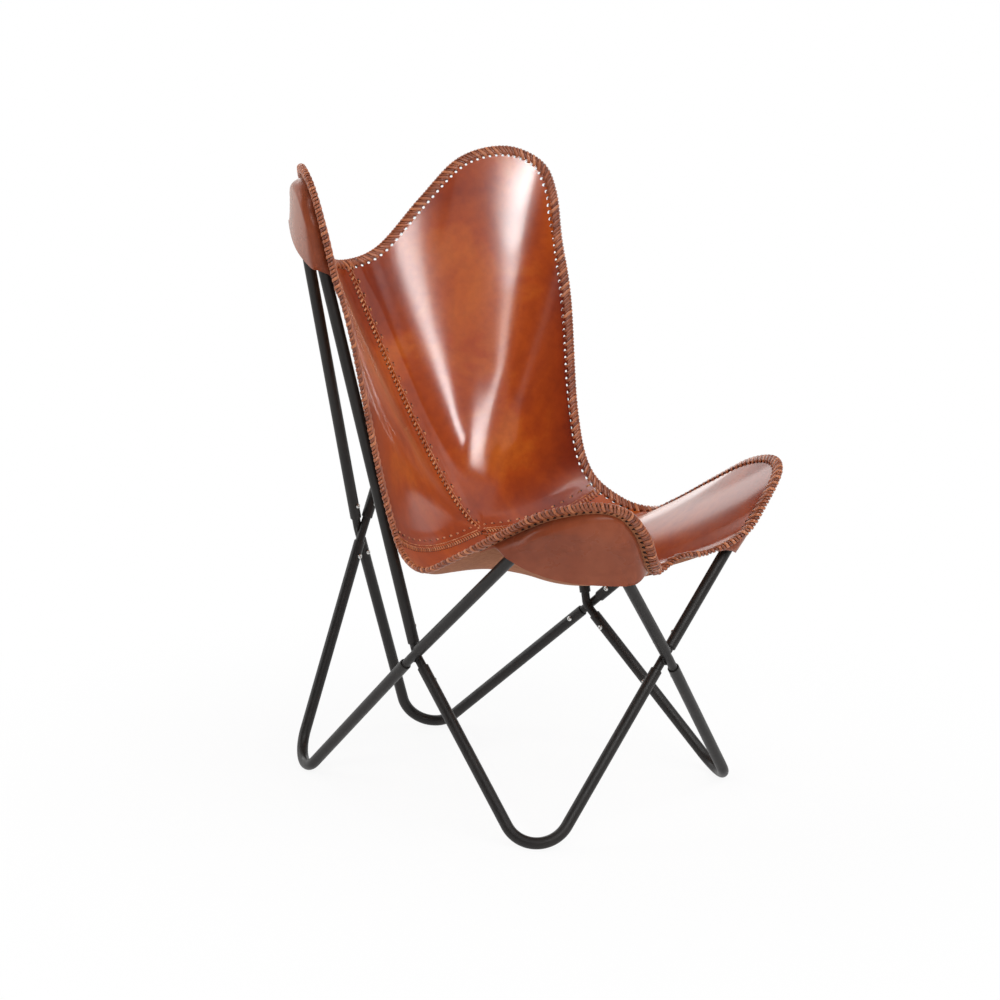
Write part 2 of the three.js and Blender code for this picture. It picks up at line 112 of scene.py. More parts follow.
# Cross connectors and lock screws. The head's dome is in shares of its radius and height.
BORE_RADIUS = TUBE_RADIUS - TUBE_WALL
ROD_RADIUS = BORE_RADIUS * math.cos(math.pi / TUBE_FACETS) - CLEARANCE
WELD_DEPTH = 1.5
ROD_OFFSET = ROD_RADIUS - WELD_DEPTH / 2
TUBE_END_FROM_CROSSING = 18
ROD_IN_TUBE = 45
ROD_BEND_RADIUS = 20
ROD_BEND_STEPS = 10
SCREW_FROM_TUBE_END = 22
SCREW_HEAD_RADIUS = 3.5
SCREW_HEAD_HEIGHT = 2
SCREW_HEAD_DOME = ((1, 0), (1, 0.5), (0.9, 0.8), (0.7, 1))
SCREW_SHANK_RADIUS = 2
SCREW_SHANK_LENGTH = 7
SCREW_SOCKET_RADIUS = 1.5
SCREW_SOCKET_DEPTH = 1.3

# Sling leather. A run shapes the curve from the seam cross to the edge, as shares of the way: level near the
# cross, then level and rise near the edge. The lobes' points are in the frames of their loops.
LEATHER = 3
POCKET_LEATHER = 2
SEAM_CROSS = np.array((0, 67, 353), float)
SEAM_CROSS_SLOPE = math.radians(23)
SIDE_SAG = 22
BACK_RUN = np.array((0.16, 0.43, 0.27))
SEAT_RUN = np.array((0.28, 0.63, 0.08))
REAR_NOTCH = (0, 322, 716)
TOP_EDGE = (56, 307, 733)
LEG_OUTLINE = ((6, 18.5, 500), (13, 24.5, 414))
SIDE_OUTLINE = ((239, 3, 372), (255, -45, 362))
FRONT_EDGE = (28, -259, 362)
FRONT_NOTCH = (0, -241, 342)
LOBE_INSET = TUBE_RADIUS + CLEARANCE + LEATHER / 2
REAR_LOBE = ((-117, 0, 12), (-66, 64, 5), (-2, 87, 0), (52, 70, 0), (76, 29, 0), (90, -38, 0), (111, -126, 2))
FRONT_LOBE = ((150, -37, 0), (88, 29, 0), (40, 75, 0), (-20, 103, 0), (-66, 97, 0), (-98, 55, 0),
              (-114, 9, 0), (-125, -39, 24))

# Pockets: the shares of each lobe's outline that they are laced along and that their mouths hang between.
# The sag of the mouth leans to the loop's outer leg by a share, and the flare stands off the loop.
REAR_POCKET = SimpleNamespace(end="rear", laced=(0.06, 0.9), mouth=(0.08, 0.83), sag=12, lean=-0.4, flare=13)
FRONT_POCKET = SimpleNamespace(end="front", laced=(0.07, 0.96), mouth=(0.14, 0.93), sag=29, lean=0.6, flare=5)
POCKET_HEM = 4
POCKET_MOUTH_POWER = 0.6
POCKET_BEHIND_LOOP = TUBE_RADIUS + CLEARANCE + POCKET_LEATHER / 2
POCKET_WRAP_END = 0.6 * TUBE_RADIUS
POCKET_GAP = 0.1
POCKET_EDGE_INSET = 0.3

# Edge lacing and its holes, as distances from the leather's edge
LACE_PITCH = 10.3
HOLE_FROM_EDGE = 11.2
HOLE_RADIUS = 2.1
HOLE_LONG_RADIUS = 2.5
HOLE_ANGLES = np.radians((225, 270, 315, 0, 45, 90, 135, 180))
HOLE_ROW_INNER = 15.6
HOLE_ROW_OUTER = 6.5
LACE_THICKNESS = 2.2

# The lacing's strands: their shift in pitches, how far they sink, how far in they reach, and their widths on
# the face and on the back
BRIGHT_STRAND = SimpleNamespace(shift=0, sink=0, reach=HOLE_FROM_EDGE + 1, widths=(4.6, 4.4))
# The sunk strand's darker lace colour is painted shade
SHADED_STRAND = SimpleNamespace(shift=-0.5, sink=0.5, reach=7.6, widths=(3.4, 3.8))

# One lacing stitch: columns from its hole (in pitches), depth from the edge, height over the leather's
# middle surface (the last six are behind it), and how far its outward side leans off the leather
STITCH = np.array((
    (0.36, 11.8, -0.6, 0),
    (0.38, 10.9, 1.9, 0),
    (0.36, 9.6, 2.8, 0),
    (0.20, 7.2, 3.1, 0),
    (0.00, 4.6, 3.1, 0),
    (-0.22, 1.8, 3.0, 0.1),
    (-0.36, -0.9, 2.3, 0.3),
    (-0.46, -2.4, 0.5, 0.5),
    (-0.52, -2.4, -1.3, 0.6),
    (-0.58, -1.0, -2.5, 0.85),
    (-0.66, 1.4, -2.9, 1),
    (-0.77, 4.4, -2.9, 1),
    (-0.87, 7.0, -2.6, 1),
    (-0.91, 8.2, -1.2, 1),
))
STITCH_BACK_FROM = 0.3
STITCH_BACK_FADE = 0.5

# Dark plugs, painted shade that stands for holes: how far they rise over the leather and reach into it, and a
# slit's radii
PLUG_SIDES = 10
PLUG_RISE = 0.12
PLUG_DEPTH = 0.6
SLIT_LONG_RADIUS = 2.8
SLIT_SHORT_RADIUS = 1.6

# Seams: how far the lapped leather stands up beside them, its width and how it fades. Slanted stitches cross
# a seam in a band, a thread runs along the lap and tacks hold it. run, start and hole_back are in pitches.
LAP_HEIGHT = 1.5
LAP_WIDTH = 17
LAP_FADE = 16
MIDDLE_SEAM = SimpleNamespace(pitch=7, band=(-3.6, 2.6), tack_across=8.5, tack_pitch=22)
SIDE_SEAM = SimpleNamespace(pitch=5.6, band=(-4.4, 4.4), tack_across=15, tack_pitch=17)
SLANT = SimpleNamespace(first=6, run=0.6, width=2.8, hole_back=0.1, hole_aside=0.6, hole_radius=1.5)
THREAD = SimpleNamespace(start=0.3, run=0.94, aside=1, width=1.5)
TACK = SimpleNamespace(first=16, length=4.5, width=2.6, hole_ahead=5.5, hole_radius=1.4)
SEAM_LACE_THICKNESS = 1.2
STITCH_ARCH = np.array((-0.7, 0.5, 0.9, 0.5, -0.7))
STITCH_WAY = np.linspace(0, 1, len(STITCH_ARCH))

# Painted shade along the back's edge, darker near it: its colour, how far it reaches, and the heights between
# which it fades out
PAINTED_SHADE = "painted_shade"
PAINTED_SHADE_COLOUR = (0.56, 0.35, 0.22, 1)
PAINTED_SHADE_REACH = 80
PAINTED_SHADE_FADE = (640, 780)

# The seat's worn polish: the heights in metres between which it passes to a fresh one, and both roughnesses
WORN_HEIGHTS = (0.37, 0.46)
WORN_ROUGHNESS = (0.26, 0.085)

# The values between which most of a noise lies, and the numbers of a Mix node's sockets for colours
USUAL_NOISE = (0.3, 0.7)
MIX_INPUTS = (0, 6, 7)
MIX_RESULT = 2

# How finely lines and surfaces are measured
PROBE = 0.01
EDGE_SAMPLES = 200
SEAM_SAMPLES = 400


def unit(vector):
    return vector / np.linalg.norm(vector, axis=-1, keepdims=True)


def dot(first, second):
    return np.sum(first * second, axis=-1, keepdims=True)


def smoothstep(value):
    share = np.clip(value, 0, 1)
    return share * share * (3 - 2 * share)


def smootherstep(value):
    share = np.clip(value, 0, 1)
    return share ** 3 * (10 - 15 * share + 6 * share * share)


def full_turn(steps):
    """Angles of equal steps round a circle."""
    return np.linspace(0, 2 * math.pi, steps, endpoint=False)


def directions_round(axis, angles):
    across = unit(np.cross(axis, (0, 0, 1)))
    other = np.cross(axis, across)
    return np.cos(angles)[:, None] * across + np.sin(angles)[:, None] * other


def running_length(points):
    """The length along a line of points, up to each of them."""
    return np.concatenate([[0], np.cumsum(np.linalg.norm(np.diff(points, axis=0), axis=1))])


def bend_between(corner, end_a, end_b, radius):
    """The bend between two straight legs that would meet at a corner."""
    toward_a = unit(end_a - corner)
    toward_b = unit(end_b - corner)
    half_angle = math.acos(float(toward_a @ toward_b)) / 2
    up = -unit(toward_a + toward_b)
    across = unit(toward_a - toward_b)
    centre = corner - up * radius / math.sin(half_angle)
    return SimpleNamespace(centre=centre, up=up, across=across, normal=np.cross(across, up), radius=radius,
                           span=math.pi / 2 - half_angle)


def round_rings(points, outs, normal, radii, sides):
    """Circles round points, each in the plane of its outward direction and a shared normal."""
    angles = full_turn(sides)[None, :, None]
    return points[:, None] + radii[:, None, None] * (np.cos(angles) * outs[:, None] + np.sin(angles) * normal)


def bent_rings(bend, ends, steps, radius, end_radius):
    """Rings along a bent tube, with one more near each end, where the radius may be smaller."""
    angles = bend.span * np.linspace(1, -1, steps + 1)[:, None]
    outs = bend.up * np.cos(angles) + bend.across * np.sin(angles)
    arc = bend.centre + outs * bend.radius
    near = [end + unit(point - end) * END_ROUNDING for end, point in zip(ends, (arc[0], arc[-1]))]
    points = np.vstack([ends[0], near[0], arc, near[1], ends[1]])
    outs = np.vstack([outs[0], outs[0], outs, outs[-1], outs[-1]])
    radii = np.full(len(points), float(radius))
    radii[[0, -1]] = end_radius
    return round_rings(points, outs, bend.normal, radii, TUBE_SIDES)


def facing_out(points, faces):
    """The faces of a closed mesh, turned round if they point inwards."""
    volume = 0
    for size in {len(face) for face in faces}:
        corners = points[np.array([face for face in faces if len(face) == size])]
        for k in range(1, size - 1):
            volume += np.sum(corners[:, 0] * np.cross(corners[:, k], corners[:, k + 1]))
    if volume > 0:
        return faces
    return [face[::-1] for face in faces]


def loft(lofts, joined=False):
    """One mesh of closed lofts, in the shape lofts, rings, sides, 3: capped, or joined end to start."""
    count, rings, sides = lofts.shape[:3]
    faces = []
    for start in range(0, count * rings * sides, rings * sides):
        for ring in range(rings if joined else rings - 1):
            near = start + ring * sides
            far = start + (ring + 1) % rings * sides
            for k in range(sides):
                after = (k + 1) % sides
                faces.append((near + k, near + after, far + after, far + k))
        if not joined:
            faces.append(tuple(range(start, start + sides))[::-1])
            faces.append(tuple(range(start + (rings - 1) * sides, start + rings * sides)))
    points = lofts.reshape(-1, 3)
    return points, facing_out(points, faces)


def ribbons(paths, ups, width, thickness):
    """Flat straps with rounded edges along paths of equal length; the width may change along them."""
    sides = 8
    roundness = 0.85
    angles = full_turn(sides) + math.pi / sides
    across = np.sign(np.cos(angles)) * np.abs(np.cos(angles)) ** roundness
    rise = np.sign(np.sin(angles)) * np.abs(np.sin(angles)) ** roundness
    tangents = unit(np.gradient(paths, axis=1))
    sideways = unit(np.cross(tangents, ups))
    upwards = np.cross(sideways, tangents)
    half_width = np.broadcast_to(width, paths.shape[1])[:, None, None] / 2
    return loft(paths[:, :, None] + sideways[:, :, None] * across[:, None] * half_width
                + upwards[:, :, None] * rise[:, None] * thickness / 2)


def join_meshes(meshes):
    points = []
    faces = []
    total = 0
    for piece_points, piece_faces in meshes:
        points.append(piece_points)
        faces += [tuple(index + total for index in face) for face in piece_faces]
        total += len(piece_points)
    return np.vstack(points), faces


def place_object(name, data):
    thing = bpy.data.objects.new(name, data)
    bpy.context.scene.collection.objects.link(thing)
    return thing


def add_mesh(name, points, faces, materials):
    """A mesh object in metres, from points in millimetres."""
    mesh = bpy.data.meshes.new(name)
    mesh.from_pydata((points * MM).tolist(), [], faces)
    for material in materials:
        mesh.materials.append(material)
    return place_object(name, mesh)


def add_piece(name, mesh_data, materials, face_materials=None):
    """A smooth mesh object that rides on the chair."""
    piece = add_mesh(name, *mesh_data, materials)
    mesh = piece.data
    mesh.polygons.foreach_set("use_smooth", np.ones(len(mesh.polygons), bool))
    mesh.set_sharp_from_angle(angle=SHARP_ANGLE)
    if face_materials is not None:
        mesh.polygons.foreach_set("material_index", face_materials)
    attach(piece, "root")
    return piece


def crossing(centre, outward, outer, inner):
    """Where two rods cross, and the loops that use the outer and the inner one."""
    return SimpleNamespace(centre=np.array(centre, float), outward=np.array(outward, float),
                           outer=outer, inner=inner)


crossings = {}
for side, sign in SIDES:
    crossings[side] = crossing(np.array(SIDE_CROSSING) * (sign, 1, 1), (sign, 0, 0),
                               (f"foot_rear_{side}", f"top_front_{side}"),
                               (f"top_rear_{side}", f"foot_front_{side}"))
for end, centre, outward in (("front", FRONT_CROSSING, (0, -1, 0)), ("rear", REAR_CROSSING, (0, 1, 0))):
    crossings[end] = crossing(centre, outward, (f"top_{end}_left", f"foot_{end}_right"),
                              (f"foot_{end}_left", f"top_{end}_right"))


def rod_centre(crossing_name, loop_name):
    place = crossings[crossing_name]
    layer = ROD_OFFSET if loop_name in place.outer else -ROD_OFFSET
    return place.centre + place.outward * layer


def settle_corner(corner, ends, radius, wanted_height):
    """Raises or lowers a loop's corner until its bend's extreme height is the wanted one."""
    settle_rounds = 20
    for _ in range(settle_rounds):
        bend = bend_between(corner, *ends, radius)
        reach = radius * math.sqrt(1 - bend.normal[2] ** 2) * np.sign(bend.up[2])
        corner = corner + (0, 0, wanted_height - bend.centre[2] - reach)
    return corner


loops = {}
for shape in LOOP_SHAPES:
    for side, sign in SIDES:
        name = f"{shape.kind}_{shape.end}_{side}"
        ends = {side: rod_centre(side, name), shape.end: rod_centre(shape.end, name)}
        start = np.array((sign * shape.x, shape.y, shape.height), float)
        corner = settle_corner(start, ends.values(), shape.radius, shape.height)
        loops[name] = SimpleNamespace(kind=shape.kind, end=shape.end, side=side, corner=corner, ends=ends,
                                      bend=bend_between(corner, *ends.values(), shape.radius))


def leg_direction(loop, crossing_name):
    return unit(loop.corner - loop.ends[crossing_name])


def screw_seats(loop):
    for crossing_name, rod_point in loop.ends.items():
        leg = leg_direction(loop, crossing_name)
        inward = -crossings[crossing_name].outward
        axis = unit(inward - leg * (inward @ leg))
        centre = rod_point + leg * (TUBE_END_FROM_CROSSING + SCREW_FROM_TUBE_END)
        yield crossing_name, axis, centre + axis * (TUBE_RADIUS + CLEARANCE)


def screw_mesh(axis, seat):
    """A domed cap screw with a six-sided socket."""
    sides = 24
    angles = full_turn(sides)
    sixth = math.pi / 3
    hexagon = math.cos(sixth / 2) / np.cos(angles % sixth - sixth / 2) * SCREW_SOCKET_RADIUS
    profile = [(SCREW_SHANK_RADIUS, -SCREW_SHANK_LENGTH), (SCREW_SHANK_RADIUS, 0)]
    profile += [(width * SCREW_HEAD_RADIUS, rise * SCREW_HEAD_HEIGHT) for width, rise in SCREW_HEAD_DOME]
    profile += [(hexagon, SCREW_HEAD_HEIGHT), (hexagon, SCREW_HEAD_HEIGHT - SCREW_SOCKET_DEPTH)]
    outs = directions_round(axis, angles)
    rings = [seat + axis * height + outs * np.broadcast_to(radii, sides)[:, None]
             for radii, height in profile]
    return loft(np.array([rings]))


def weld_bead(place):
    """A rippled bead round the place where two rods touch."""
    bead_radius = 6.2
    bead_thickness = 1.9
    ripples = 17
    ripple_height = 0.14
    ripple_steps = 5
    sides = 10
    angles = full_turn(ripple_steps * ripples)
    outs = directions_round(place.outward, angles)
    radii = bead_thickness * (1 + ripple_height * np.cos(ripples * angles))
    rings = round_rings(place.centre + outs * bead_radius, outs, place.outward, radii, sides)
    return loft(rings[None], joined=True)


# Materials

def new_material(name, **sockets):
    material = bpy.data.materials.new(name)
    material.use_nodes = True
    shader = material.node_tree.nodes["Principled BSDF"]
    for socket, value in sockets.items():
        shader.inputs[socket.replace("_", " ")].default_value = value
    return material


def colour(shown):
    """A linear colour from the 0 to 255 values that it should show, by the sRGB curve."""
    share = np.array(shown) / 255
    linear = np.where(share <= 0.04045, share / 12.92, ((share + 0.055) / 1.055) ** 2.4)
    return (*linear.tolist(), 1)


class Look:
    """The nodes of a material or of the world, and short ways to add to them."""

    def __init__(self, owner):
        self.owner = owner
        self.tree = owner.node_tree
        self.coordinates = self.add("TexCoord", {})

    def feed(self, socket, source):
        """Links a node's output to a socket, or gives the socket a plain value."""
        if isinstance(source, bpy.types.NodeSocket):
            self.tree.links.new(source, socket)
        else:
            socket.default_value = source

    def add(self, kind, inputs, **settings):
        """Adds a node whose sockets are fed by name or number, and returns its outputs."""
        node = self.tree.nodes.new(f"ShaderNode{kind}")
        for key, value in settings.items():
            setattr(node, key, value)
        for key, source in inputs.items():
            self.feed(node.inputs[key], source)
        return node.outputs

    def shade(self, socket, source):
        self.feed(self.tree.nodes["Principled BSDF"].inputs[socket], source)

    def noise(self, scale, detail=3, roughness=0.55, distortion=0.0):
        inputs = {"Vector": self.coordinates["Object"], "Scale": scale, "Detail": detail,
                  "Roughness": roughness, "Distortion": distortion}
        return self.add("TexNoise", inputs)["Fac"]

    def ramp(self, source, positions, colours):
        """Colours by a value, blended between the positions at which they stand."""
        node = self.tree.nodes.new("ShaderNodeValToRGB")
        self.feed(node.inputs["Fac"], source)
        elements = node.color_ramp.elements
        halfway = 0.5
        while len(elements) < len(positions):
            elements.new(halfway)
        for element, position, value in zip(elements, positions, colours):
            element.position = position
            element.color = value
        return node.outputs["Color"]

    def multiply(self, share, first, second):
        """A colour darkened by a share of another."""
        inputs = dict(zip(MIX_INPUTS, (share, first, second)))
        return self.add("Mix", inputs, data_type="RGBA", blend_type="MULTIPLY")[MIX_RESULT]

    def maths(self, operation, *values):
        return self.add("Math", dict(enumerate(values)), operation=operation)[0]

    def map_range(self, source, source_range, result_range, interpolation="SMOOTHSTEP"):
        sockets = ("Value", "From Min", "From Max", "To Min", "To Max")
        inputs = dict(zip(sockets, (source, *source_range, *result_range)))
        return self.add("MapRange", inputs, interpolation_type=interpolation)["Result"]

    def roughen(self, scale, low, high):
        """Roughness that wanders between two values."""
        wander = self.map_range(self.noise(scale, detail=5), USUAL_NOISE, (low, high), "LINEAR")
        self.shade("Roughness", wander)

    def bump(self, *layers):
        """Chains bumps of several scales: (noise scale, strength, depth in metres)."""
        below = {}
        for scale, strength, depth in layers:
            height = self.noise(scale, detail=4, roughness=0.6)
            bumped = self.add("Bump", {"Strength": strength, "Distance": depth, "Height": height, **below})
            below = {"Normal": bumped["Normal"]}
        self.shade("Normal", below["Normal"])

    def white_where(self, output, share, shader, white):
        """Shows white in place of another shader, by a share."""
        mixed = self.add("MixShader", {0: share, 1: shader, 2: white})[0]
        self.feed(self.tree.nodes[output].inputs["Surface"], mixed)


def leather_material(name, dyes, rough, shine, grain, polish):
    """Waxed leather: cloudy dye, darker flecks, painted shade near the back's edges, fine pores, a sheen, and
    a polish, worn on the seat.
    """
    look = Look(new_material(name, Roughness=rough[0], Specular_IOR_Level=shine, Coat_Weight=polish,
                             Coat_IOR=1.4, Coat_Roughness=0.12, Sheen_Weight=0.25, Sheen_Roughness=0.35,
                             Sheen_Tint=(1, 0.78, 0.6, 1)))
    clouds = look.noise(scale=7, detail=5, distortion=0.6)
    dye = look.ramp(clouds, (0.3, 0.52, 0.75), map(colour, dyes))
    flecks = look.ramp(look.noise(scale=90, detail=4), (0.35, 0.6), ((0.8, 0.76, 0.72, 1), WHITE))
    fleck_share = 0.6
    tinted = look.multiply(fleck_share, dye, flecks)
    # Painted shade: the colour darkens towards the back's edges and lower down, from a point attribute
    painted_shade = look.add("Attribute", {}, attribute_name=PAINTED_SHADE)["Fac"]
    shade_tint = look.ramp(painted_shade, (0.1, 0.9), (WHITE, PAINTED_SHADE_COLOUR))
    look.shade("Base Color", look.multiply(1, tinted, shade_tint))
    rough_scale = 14
    look.roughen(rough_scale, *rough)
    height = look.add("SeparateXYZ", {0: look.coordinates["Object"]})["Z"]
    look.shade("Coat Roughness", look.map_range(height, WORN_HEIGHTS, WORN_ROUGHNESS))
    creases = (45, 0.04, 0.0012)
    pores = (620, grain, 0.0002)
    look.bump(creases, pores)
    return look.owner


def lace_material(name, tones):
    """Narrow lace, each stitch of a slightly different tone."""
    look = Look(new_material(name, Roughness=0.3, Specular_IOR_Level=0.45))
    island = look.add("NewGeometry", {})["Random Per Island"]
    strand = look.ramp(island, (0, 0.5, 1), map(colour, tones))
    streaks = look.ramp(look.noise(scale=260), (0.3, 0.65), ((0.68, 0.64, 0.6, 1), WHITE))
    streak_share = 0.7
    look.shade("Base Color", look.multiply(streak_share, strand, streaks))
    fibres = (500, 0.3, 0.0003)
    look.bump(fibres)
    return look.owner


def toned_material(name, tones, spots, rough=None, relief=None, **sockets):
    """A surface whose colour wanders between two tones, with its own roughness noise and bump layer."""
    look = Look(new_material(name, **sockets))
    look.shade("Base Color", look.ramp(look.noise(**spots), USUAL_NOISE, map(colour, tones)))
    if rough:
        look.roughen(*rough)
    if relief:
        look.bump(relief)
    return look.owner


# Waxed leather, napped suede, laces of three tones (the sunk strand's darker one is painted shade), cut
# leather whose dark rim under the lacing is painted shade, painted shade for holes, satin powder coat with a
# fine orange peel, and bright zinc plate
cognac = leather_material("cognac_leather", ((130, 40, 2), (166, 66, 6), (196, 100, 22)),
                          rough=(0.4, 0.5), shine=0.05, grain=0.05, polish=1.0)
pocket_grain = leather_material("pocket_leather", ((118, 54, 32), (138, 68, 42), (154, 82, 54)),
                                rough=(0.24, 0.32), shine=0.2, grain=0.1, polish=0.0)
tan_suede = toned_material("tan_suede", ((146, 88, 58), (176, 116, 82)),
                           dict(scale=160, detail=6, roughness=0.7), relief=(900, 0.35, 0.0003),
                           Roughness=0.9, Specular_IOR_Level=0.1, Sheen_Weight=0.08, Sheen_Roughness=0.5)
bright_lace = lace_material("bright_lace", ((146, 76, 46), (174, 98, 62), (198, 124, 84)))
shaded_lace = lace_material("shaded_lace", ((120, 58, 36), (144, 76, 48), (166, 94, 62)))
seam_lace = lace_material("seam_lace", ((164, 86, 50), (192, 116, 72), (214, 142, 96)))
# Dark cut edges, also laid on the strip under the lacing, where the darkness is painted shade between the
# strands
cut_edge_and_rim_shade = new_material("cut_edge_and_rim_shade", Roughness=0.6, Base_Color=colour((62, 24, 12)))
# Painted shade: near-black discs stand for the shade inside holes and slits
painted_hole_shade = new_material("painted_hole_shade", Roughness=0.9, Base_Color=colour((40, 18, 10)))
black_paint = toned_material("black_powder_coat", ((28, 25, 24), (38, 35, 33)), dict(scale=30, detail=5),
                             rough=(60, 0.36, 0.5), relief=(1400, 0.12, 0.0002), Roughness=0.42,
                             Specular_IOR_Level=0.3)
zinc_plate = toned_material("zinc_plate", ((186, 186, 184), (222, 221, 218)), dict(scale=400),
                            rough=(700, 0.22, 0.38), Roughness=0.3, Metallic=1.0)


# Frame

for loop in loops.values():
    tube_ends = [point + leg_direction(loop, crossing_name) * TUBE_END_FROM_CROSSING
                 for crossing_name, point in loop.ends.items()]
    outside = bent_rings(loop.bend, tube_ends, BEND_STEPS, TUBE_RADIUS, TUBE_RADIUS - END_ROUNDING)
    inside = bent_rings(loop.bend, tube_ends, BEND_STEPS, BORE_RADIUS, BORE_RADIUS)[::-1]
    if loop.kind == "foot":
        outside[..., 2] = np.maximum(outside[..., 2], 0)
    tube = loft(np.vstack([outside, inside])[None], joined=True)
    piece = add_piece(f"{loop.kind}_tube_{loop.end}_{loop.side}", tube, [black_paint])
    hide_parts(f"{loop.kind}_loop_{loop.end}_{loop.side}")
    for crossing_name, axis, seat in screw_seats(loop):
        place = f"{loop.kind}_{loop.end}_{loop.side}_{crossing_name}_crossing"
        screw = add_piece(f"lock_screw_{place}", screw_mesh(axis, seat), [zinc_plate])
        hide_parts(f"screw_{place}")


def connector_rod(crossing_name, loop_names):
    corner = rod_centre(crossing_name, loop_names[0])
    reach = TUBE_END_FROM_CROSSING + ROD_IN_TUBE
    ends = [corner + leg_direction(loops[name], crossing_name) * reach for name in loop_names]
    bend = bend_between(corner, *ends, ROD_BEND_RADIUS)
    return loft(bent_rings(bend, ends, ROD_BEND_STEPS, ROD_RADIUS, ROD_RADIUS - END_ROUNDING)[None])


for crossing_name, place in crossings.items():
    meshes = [connector_rod(crossing_name, names) for names in (place.outer, place.inner)]
    meshes.append(weld_bead(place))
    piece = add_piece(f"connector_{crossing_name}", join_meshes(meshes), [black_paint])
    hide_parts(f"cross_connector_{crossing_name}")


# Sling outline and surface

def loop_axes(loop):
    facing = np.sign((SEAM_CROSS - loop.bend.centre) @ loop.bend.normal)
    return np.array((loop.bend.across, loop.bend.up, loop.bend.normal * facing))


def from_loop(loop, places):
    return loop.bend.centre + np.asarray(places, float) @ loop_axes(loop)


def to_loop(loop, points):
    return (points - loop.bend.centre) @ loop_axes(loop).T


def beside_rear_leg(side, sign):
    """Outline points beside the leg that climbs from a side crossing to a rear top."""
    loop = loops[f"top_rear_{side}"]
    start = loop.ends[side]
    leg = leg_direction(loop, side)
    return [start + leg * (height - start[2]) / leg[2] + (sign * outward, -forward, 0)
            for outward, forward, height in LEG_OUTLINE]


def half_outline(side, sign):
    inset = np.array((0, 0, LOBE_INSET))
    mirror = np.array((sign, 1, 1), float)
    return np.vstack([
        np.array(TOP_EDGE) * mirror,
        from_loop(loops[f"top_rear_{side}"], REAR_LOBE + inset),
        beside_rear_leg(side, sign),
        np.array(SIDE_OUTLINE) * mirror,
        from_loop(loops[f"top_front_{side}"], FRONT_LOBE + inset),
        np.array(FRONT_EDGE) * mirror,
    ])


OUTLINE = np.vstack([REAR_NOTCH, half_outline("right", 1), FRONT_NOTCH, half_outline("left", -1)[::-1]])
OUTLINE_COUNT = len(OUTLINE)
FRONT_NOTCH_AT = OUTLINE_COUNT // 2
REAR_LOBE_AT = 2
LAST_LEG_POINT = REAR_LOBE_AT + len(REAR_LOBE) + len(LEG_OUTLINE) - 1
RIGHT_SEAM_AT = LAST_LEG_POINT + 0.5
LEFT_SEAM_AT = OUTLINE_COUNT - RIGHT_SEAM_AT
FRONT_LOBE_AT = LAST_LEG_POINT + len(SIDE_OUTLINE) + 1
SLING_UP = np.array((0, -math.sin(SEAM_CROSS_SLOPE), math.cos(SEAM_CROSS_SLOPE)))
SLING_REAR = np.array((0, math.cos(SEAM_CROSS_SLOPE), math.sin(SEAM_CROSS_SLOPE)))


def outline_point(place):
    """A point on the closed smooth curve through the outline's points."""
    place = np.asarray(place, float)
    index = np.floor(place).astype(int)
    t = (place - index)[..., None]
    before, start, end, after = (OUTLINE[(index + step) % OUTLINE_COUNT] for step in (-1, 0, 1, 2))
    leave = (end - before) / 2
    arrive = (after - start) / 2
    return ((2 * start - 2 * end + leave + arrive) * t ** 3
            + (3 * end - 3 * start - 2 * leave - arrive) * t ** 2 + leave * t + start)


def soft_outline_point(place):
    """The outline with its small bends evened out, which the inner leather follows."""
    spread = 1.2
    samples = 9
    offsets = np.linspace(-spread, spread, samples)
    weights = np.cos(offsets / spread * math.pi / 2) ** 2
    total = sum(weight * outline_point(place + offset) for offset, weight in zip(offsets, weights))
    return total / np.sum(weights)


def sling_point(share, place):
    """A point of the leather's middle surface: share 0 at the seam cross, 1 at the outline."""
    share = np.asarray(share, float)[..., None]
    place = np.asarray(place, float)
    soft_until = 0.4
    sharpness = smootherstep((share - soft_until) / (1 - soft_until))
    soft_edge = soft_outline_point(place)
    edge = soft_edge + (outline_point(place) - soft_edge) * sharpness - SEAM_CROSS
    rise = dot(edge, SLING_UP)
    level = edge - rise * SLING_UP
    rearward = dot(level, SLING_REAR) / np.linalg.norm(level, axis=-1, keepdims=True)
    back_share = ((1 + rearward) / 2) ** 2
    run = SEAT_RUN + (BACK_RUN - SEAT_RUN) * back_share
    near_level, far_level, far_rise = run[..., 0:1], run[..., 1:2], run[..., 2:3]
    near = 3 * (1 - share) ** 2 * share
    far = 3 * (1 - share) * share ** 2
    end = share ** 3
    drop = far * SIDE_SAG * (1 - rearward ** 2)
    return (SEAM_CROSS + level * (near * near_level + far * far_level + end)
            + SLING_UP * (rise * (far * far_rise + end) - drop))


def sling_slopes(share, place):
    """How the surface moves with share and with place."""
    share = np.asarray(share, float)
    outer = np.minimum(share + PROBE, 1)
    outwards = (sling_point(outer, place) - sling_point(outer - PROBE, place)) / PROBE
    sideways = (sling_point(share, place + PROBE) - sling_point(share, place - PROBE)) / (2 * PROBE)
    return outwards, sideways


def sling_normal(share, place):
    """The surface's direction towards the sitter."""
    outwards, sideways = sling_slopes(share, place)
    return unit(np.cross(sideways, outwards))


ring_places = np.linspace(0, OUTLINE_COUNT, EDGE_SAMPLES * OUTLINE_COUNT + 1)
ring_lengths = running_length(outline_point(ring_places))


def place_at(length):
    """The outline place at a length along the edge from the rear notch."""
    return np.interp(length, ring_lengths, ring_places)


def length_at(place):
    return np.interp(place, ring_places, ring_lengths)


def edge_slopes(place):
    """The slopes at the edge, and the first of them split into its parts along the edge and square to it."""
    outwards, sideways = sling_slopes(np.ones_like(place), place)
    along = unit(sideways)
    slant = dot(outwards, along)
    return outwards, sideways, slant, outwards - slant * along


def edge_steps(place):
    """Steps in share and place for one millimetre straight in from the edge."""
    _, sideways, slant, square = edge_slopes(place)
    share_step = -1 / np.linalg.norm(square, axis=-1)
    return share_step, -share_step * slant[..., 0] / np.linalg.norm(sideways, axis=-1)


